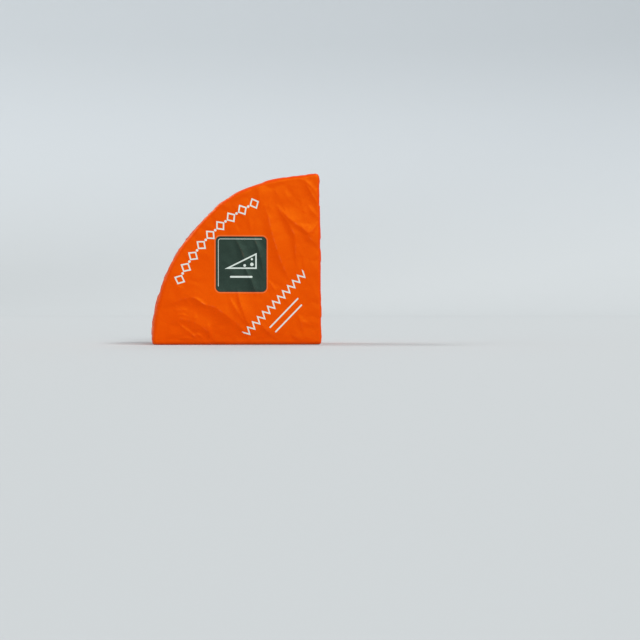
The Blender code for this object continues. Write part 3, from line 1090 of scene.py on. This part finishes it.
def rim_ornament(x, z):
    """Diamonds along the rim with dots between them."""
    radius = distance_2d(x, z)
    angle = z.math("ARCTAN2", x) * (180.0 / math.pi)
    first, last = DIAMOND_ANGLES
    cell = (last - first) / DIAMONDS
    pitch = cell * math.pi / 180.0 * DIAMOND_RADIUS
    place = (angle - first) / cell
    local = (place - place.math("FLOOR") - 0.5) * pitch
    across = radius - DIAMOND_RADIUS
    from_middle = abs(angle - (first + last) / 2)
    in_arc = from_middle.within((last - first) / 2, 0.05)
    between = from_middle.within((last - first - cell) / 2, 0.05)
    diamond = abs(abs(local) * 1.15 + abs(across) - 2.75).within(0.58)
    dot = distance_2d(pitch / 2 - abs(local), across).within(0.7)
    return (diamond * in_arc).higher(dot * between)


def stripe(x, z, middle, half_long, half_high, pitch=0.0):
    """A slanting line across the lower right: straight, or a zigzag of that pitch."""
    heading = math.radians(STRIPE_ANGLE)
    du, dv = x - middle[0], z - middle[1]
    long = du * math.cos(heading) + dv * math.sin(heading)
    high = dv * math.cos(heading) - du * math.sin(heading)
    if pitch:
        step = long / pitch
        wave = abs(step - step.math("FLOOR") - 0.5) * 7.2 - 1.8
        high = (high - wave) * 0.48
    return box_distance(long, high, (half_long, half_high), 0.2).within(0.0)


def foil_material():
    """Printed foil: its colours, how its print is worn with painted highlights on crests and edges, and its
    fine grain.
    """
    material = bpy.data.materials.new("printed_foil")
    material.use_nodes = True
    graph = Graph(material.node_tree)
    shader = material.node_tree.nodes["Principled BSDF"]
    coords = graph.node("ShaderNodeTexCoord").outputs["Object"]
    mapping = graph.node("ShaderNodeMapping", None, {
        "Vector": coords, "Location": (-CENTRE_X, 0.0, 0.0), "Scale": (1 / MM, 1 / MM, 1 / MM)})
    here = mapping.outputs[0]
    parts = graph.node("ShaderNodeSeparateXYZ", None, [here])
    x, y, z = (Field(graph, socket) for socket in parts.outputs)

    def noise(scale, detail=2.0, roughness=0.5):
        inputs = {"Vector": here, "Scale": scale, "Detail": detail, "Roughness": roughness}
        return graph.field("ShaderNodeTexNoise", None, inputs)

    def attribute(name):
        return graph.field("ShaderNodeAttribute", {"attribute_name": name}, output=2)

    # The print
    on_face = y.within(FRONT + 3.0, 0.6)
    u, v = x - LABEL_MIDDLE[0], z - LABEL_MIDDLE[1]
    edge = box_distance(u, v, LABEL_HALF, LABEL_CORNER)
    label = edge.within(0.0)
    outer_line = abs(edge - 0.40).within(0.26)
    pale = (wedge_sign(u, v) * label).higher(label_line(u, v, edge)).higher(rim_ornament(x, z))
    pale = pale.higher(stripe(x, z, (-26.6, 22.9), 24.0, 0.36, 4.0))
    pale = pale.higher(stripe(x, z, (-21.6, 17.6), 11.4, 0.40))
    pale = pale.higher(stripe(x, z, (-19.0, 14.6), 10.6, 0.40))
    pale = pale * on_face
    label = label * on_face

    # Colours and finish
    orange = graph.mix((noise(0.045, 3.0) - 0.35) * 1.2, DEEP_ORANGE, ORANGE)
    colour = graph.mix(outer_line * on_face * 0.36, orange, LIGHT_ORANGE)
    light_green = tuple(part * 1.4 for part in GREEN[:3]) + (1.0,)
    colour = graph.mix(label, colour, graph.mix(noise(0.11), GREEN, light_green))
    colour = graph.mix(pale, colour, PALE)
    # Worn print and painted highlight: crests and the front's edge turn lighter, more metallic and a little
    # smoother
    scuff_and_highlight = (attribute("wear_and_highlight") * noise(0.32, 3.0).ramp(0.48, 0.66)).lower(1.0)
    graph.feed(shader.inputs["Base Color"], graph.mix(scuff_and_highlight * 0.22, colour, SCUFF_AND_HIGHLIGHT_COLOUR))

    roughness = FOIL_ROUGHNESS + (noise(0.16) - 0.5) * 0.16 - scuff_and_highlight * 0.06
    metallic = FOIL_METAL + label * (1.0 - pale) * LABEL_METAL + scuff_and_highlight * SCUFF_AND_HIGHLIGHT_METAL
    graph.feed(shader.inputs["Roughness"], roughness)
    graph.feed(shader.inputs["Metallic"], metallic)
    shader.inputs["Specular IOR Level"].default_value = SHEEN_LEVEL
    shader.inputs["Specular Tint"].default_value = SHEEN_TINT

    # Fine creases and grain
    bent = graph.warped(here, 0.16, 2.0, 9.0)
    settings = {"feature": "DISTANCE_TO_EDGE"}
    crease = graph.field("ShaderNodeTexVoronoi", settings, {"Vector": bent, "Scale": 0.24}).within(0.06, 0.06)
    grain = noise(1.6, 3.0, 0.6) * 0.6 + noise(0.45) - crease * attribute("slack") * 1.2
    bump = graph.node("ShaderNodeBump", None, {"Strength": 0.18, "Distance": 0.12 * MM, "Height": grain})
    graph.feed(shader.inputs["Normal"], bump.outputs[0])
    return material


def studio_material():
    """Pale paper, a little lighter up the wall, so that the wall and the floor look alike."""
    material = bpy.data.materials.new("studio_paper")
    material.use_nodes = True
    graph = Graph(material.node_tree)
    shader = material.node_tree.nodes["Principled BSDF"]
    coords = graph.node("ShaderNodeTexCoord").outputs["Object"]
    parts = graph.node("ShaderNodeSeparateXYZ", None, [coords])
    height = Field(graph, parts.outputs[2])
    graph.feed(shader.inputs["Base Color"], graph.mix(height.ramp(0.0, 0.9), FLOOR_COLOUR, WALL_COLOUR))
    shader.inputs["Roughness"].default_value = 0.9
    shader.inputs["Specular IOR Level"].default_value = 0.1
    return material


# Pieces

def foil_wrap():
    obj = bpy.data.objects.new("foil_wrap", foil_mesh())
    bpy.context.scene.collection.objects.link(obj)
    crumple(obj, foil_material())
    mesh = obj.data
    points = np.empty(len(mesh.vertices) * 3, np.float32)
    mesh.vertices.foreach_get("co", points)
    points = points.reshape(-1, 3)
    points[:, 2] = np.maximum(points[:, 2], 0.0)
    mesh.vertices.foreach_set("co", points.ravel())
    mesh.update()
    mesh.set_sharp_from_angle(angle=math.radians(SHARP_ANGLE))
    return obj


# Stage, light and camera

def studio():
    """A pale floor that curves up into a low wall far away all round."""
    floor_radius, wall_radius, wall_height, steps = 4.6, 5.8, 1.45, 24
    profile = [(floor_radius * number / 6, 0.0) for number in range(7)]
    for number in range(1, steps + 1):
        turn = math.pi / 2 * number / steps
        profile.append((floor_radius + (wall_radius - floor_radius) * math.sin(turn),
                        (wall_radius - floor_radius) * (1 - math.cos(turn))))
    profile.append((wall_radius, wall_height))
    shape = bmesh.new()
    points = [shape.verts.new((radius, 0.0, height)) for radius, height in profile]
    edges = [shape.edges.new(pair) for pair in zip(points, points[1:])]
    bmesh.ops.spin(shape, geom=points + edges, cent=(0, 0, 0), axis=(0, 0, 1), angle=2 * math.pi, steps=96,
                   use_merge=True)
    bmesh.ops.remove_doubles(shape, verts=shape.verts, dist=1e-6)
    mesh = bpy.data.meshes.new("studio_floor")
    shape.to_mesh(mesh)
    shape.free()
    mesh.shade_smooth()
    mesh.materials.append(studio_material())
    obj = bpy.data.objects.new("studio_floor", mesh)
    bpy.context.scene.collection.objects.link(obj)


def sun(name, travel, strength, angle, colour=(1.0, 1.0, 1.0)):
    """A soft distant light that shines along travel."""
    data = bpy.data.lights.new(name, "SUN")
    data.energy = strength
    data.angle = math.radians(angle)
    data.color = colour
    obj = bpy.data.objects.new(name, data)
    obj.rotation_euler = Vector(travel).to_track_quat("-Z", "Y").to_euler()
    bpy.context.scene.collection.objects.link(obj)


def lights():
    sun("key", (-0.24, 0.88, -0.41), 1.34, 14.0)
    sun("graze", (-0.55, 0.33, -0.76), 1.45, 12.0, (1.0, 0.99, 0.97))
    sun("rim_light", (0.70, -0.05, -0.71), 0.38, 30.0)
    sun("side_light", (0.93, 0.05, -0.36), 0.4, 35.0)
    sun("back_fill", (-0.25, -0.80, -0.55), 0.36, 24.0)
    sun("back_graze", (0.58, -0.34, -0.74), 0.76, 12.0)
    world = bpy.data.worlds.new("studio")
    world.use_nodes = True
    background = world.node_tree.nodes["Background"]
    background.inputs["Color"].default_value = (0.94, 0.97, 1.0, 1.0)
    background.inputs["Strength"].default_value = 0.42
    bpy.context.scene.world = world


def camera():
    """The photograph's camera, placed so that the wheel's centre falls on its own pixel."""
    yaw, pitch = math.radians(YAW), math.radians(PITCH)
    ahead = Vector((math.sin(yaw) * math.cos(pitch), math.cos(yaw) * math.cos(pitch), math.sin(pitch)))
    right = Vector((math.cos(yaw), -math.sin(yaw), 0.0))
    up = right.cross(ahead)
    corner = Vector((CENTRE_X, FRONT, 0.0))
    per_pixel = CORNER_DISTANCE / FOCAL_PIXELS
    across = (CORNER_PIXEL[0] - IMAGE_SIZE / 2) * per_pixel
    down = (CORNER_PIXEL[1] - IMAGE_SIZE / 2) * per_pixel
    place = corner - ahead * CORNER_DISTANCE - right * across + up * down
    data = bpy.data.cameras.new("photo_camera")
    data.sensor_width = SENSOR_WIDTH
    data.lens = SENSOR_WIDTH * FOCAL_PIXELS / IMAGE_SIZE
    data.clip_start = 0.01
    data.clip_end = 20.0
    obj = bpy.data.objects.new("photo_camera", data)
    turn = Matrix((right, up, -ahead)).transposed()
    obj.matrix_world = Matrix.Translation(place * MM) @ turn.to_4x4()
    bpy.context.scene.collection.objects.link(obj)
    bpy.context.scene.camera = obj


bpy.context.scene.view_settings.view_transform = "Standard"
bpy.context.scene.view_settings.look = "None"
camera()
lights()
studio()

wrap = foil_wrap()
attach(wrap, "root")
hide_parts(NODE)
